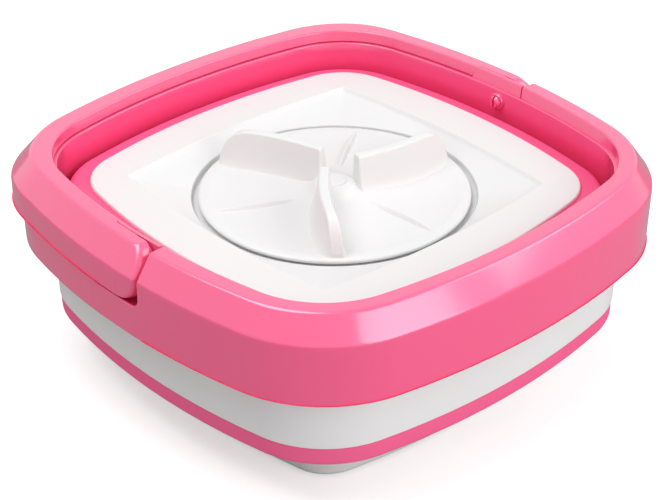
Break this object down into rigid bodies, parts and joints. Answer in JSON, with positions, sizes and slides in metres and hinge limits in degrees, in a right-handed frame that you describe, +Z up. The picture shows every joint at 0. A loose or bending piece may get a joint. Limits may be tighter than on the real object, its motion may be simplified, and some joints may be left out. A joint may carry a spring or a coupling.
{
  "type": "collapsible washing machine",
  "caption": "Square collapsible washing machine, folded flat: rim with a swing-up carrying handle, soft folds, ring, and a motor base whose pulsator stands in the tub.",
  "frame": {"origin": "centre of the bottom, on the standing surface, under the axis of the pulsator", "axes": "+Z up along the pulsator's axis; X and Y square to the sides; the handle lies on the -X half of the rim and turns about a line along Y"},
  "size_m": [0.3125, 0.31, 0.131],
  "materials": {
    "rim_pink": "glossy moulded plastic",
    "soft_pink": "soft satin elastomer",
    "white_plastic": "satin white moulded plastic",
    "dark_plastic": "matt black moulded plastic",
    "gear_nylon": "natural nylon",
    "steel": "plain steel",
    "bronze": "sintered bronze",
    "brass": "turned brass",
    "rubber": "matt rubber",
    "board_green": "coated circuit board",
    "lead_red": "insulated lead"
  },
  "bodies": {
    "base": {"base_housing": "white_plastic", "bottom_cover": "white_plastic", "rubber_feet": "rubber", "case_screws": "steel", "tub_floor": "white_plastic", "lower_fold": "soft_pink", "shaft_seal": "rubber", "upper_bush": "bronze", "lower_bush": "bronze", "gearbox_case": "dark_plastic", "gearbox_cover": "dark_plastic", "gearbox_screws": "steel", "idler_pin": "steel", "motor_can": "steel", "motor_end_cap": "dark_plastic", "motor_screws": "steel", "motor_leads": "lead_red", "button_seal": "rubber", "dc_socket": "dark_plastic", "control_board": "board_green", "board_screws": "steel", "tact_switch": "dark_plastic"},
    "ring": {"middle_ring": "white_plastic", "upper_fold": "soft_pink"},
    "rim": {"tub_collar": "rim_pink", "rim_frame": "rim_pink", "rim_screws": "steel"},
    "handle": {"handle": "rim_pink"},
    "pulsator": {"pulsator": "white_plastic", "pulsator_screw": "steel", "hub_cap": "white_plastic", "drive_shaft": "steel", "output_gear": "gear_nylon"},
    "idler": {"idler_gear": "gear_nylon"},
    "rotor": {"motor_pinion": "brass", "motor_shaft": "steel"},
    "button": {"power_button": "rim_pink"}
  },
  "joints": [
    {"name": "lift_ring", "type": "slide", "parent": "base", "child": "ring", "axis": [0, 0, 1], "range_m": [0, 0.118], "deforming": ["lower_fold"]},
    {"name": "lift_rim", "type": "slide", "parent": "ring", "child": "rim", "axis": [0, 0, 1], "range_m": [0, 0.034], "deforming": ["upper_fold"]},
    {"name": "handle_swing", "type": "hinge", "parent": "rim", "child": "handle", "pos_m": [0, 0, 0.116], "axis": [0, 1, 0], "range_deg": [0, 90]},
    {"name": "pulsator_spin", "type": "hinge", "parent": "base", "child": "pulsator", "pos_m": [0, 0, 0.1], "axis": [0, 0, 1], "continuous": true},
    {"name": "idler_spin", "type": "hinge", "parent": "base", "child": "idler", "pos_m": [-0.03584, -0.02509, 0.07], "axis": [0, 0, 1], "continuous": true},
    {"name": "motor_spin", "type": "hinge", "parent": "base", "child": "rotor", "pos_m": [-0.00185, -0.04094, 0.04], "axis": [0, 0, 1], "continuous": true},
    {"name": "power_press", "type": "slide", "parent": "base", "child": "button", "axis": [-1, 0, 0], "range_m": [0, 0.0015], "stiffness_N_per_m": 400}
  ],
  "couplings": [
    {"joint": "idler_spin", "follows": "pulsator_spin", "ratio": -4},
    {"joint": "motor_spin", "follows": "pulsator_spin", "ratio": 16}
  ]
}
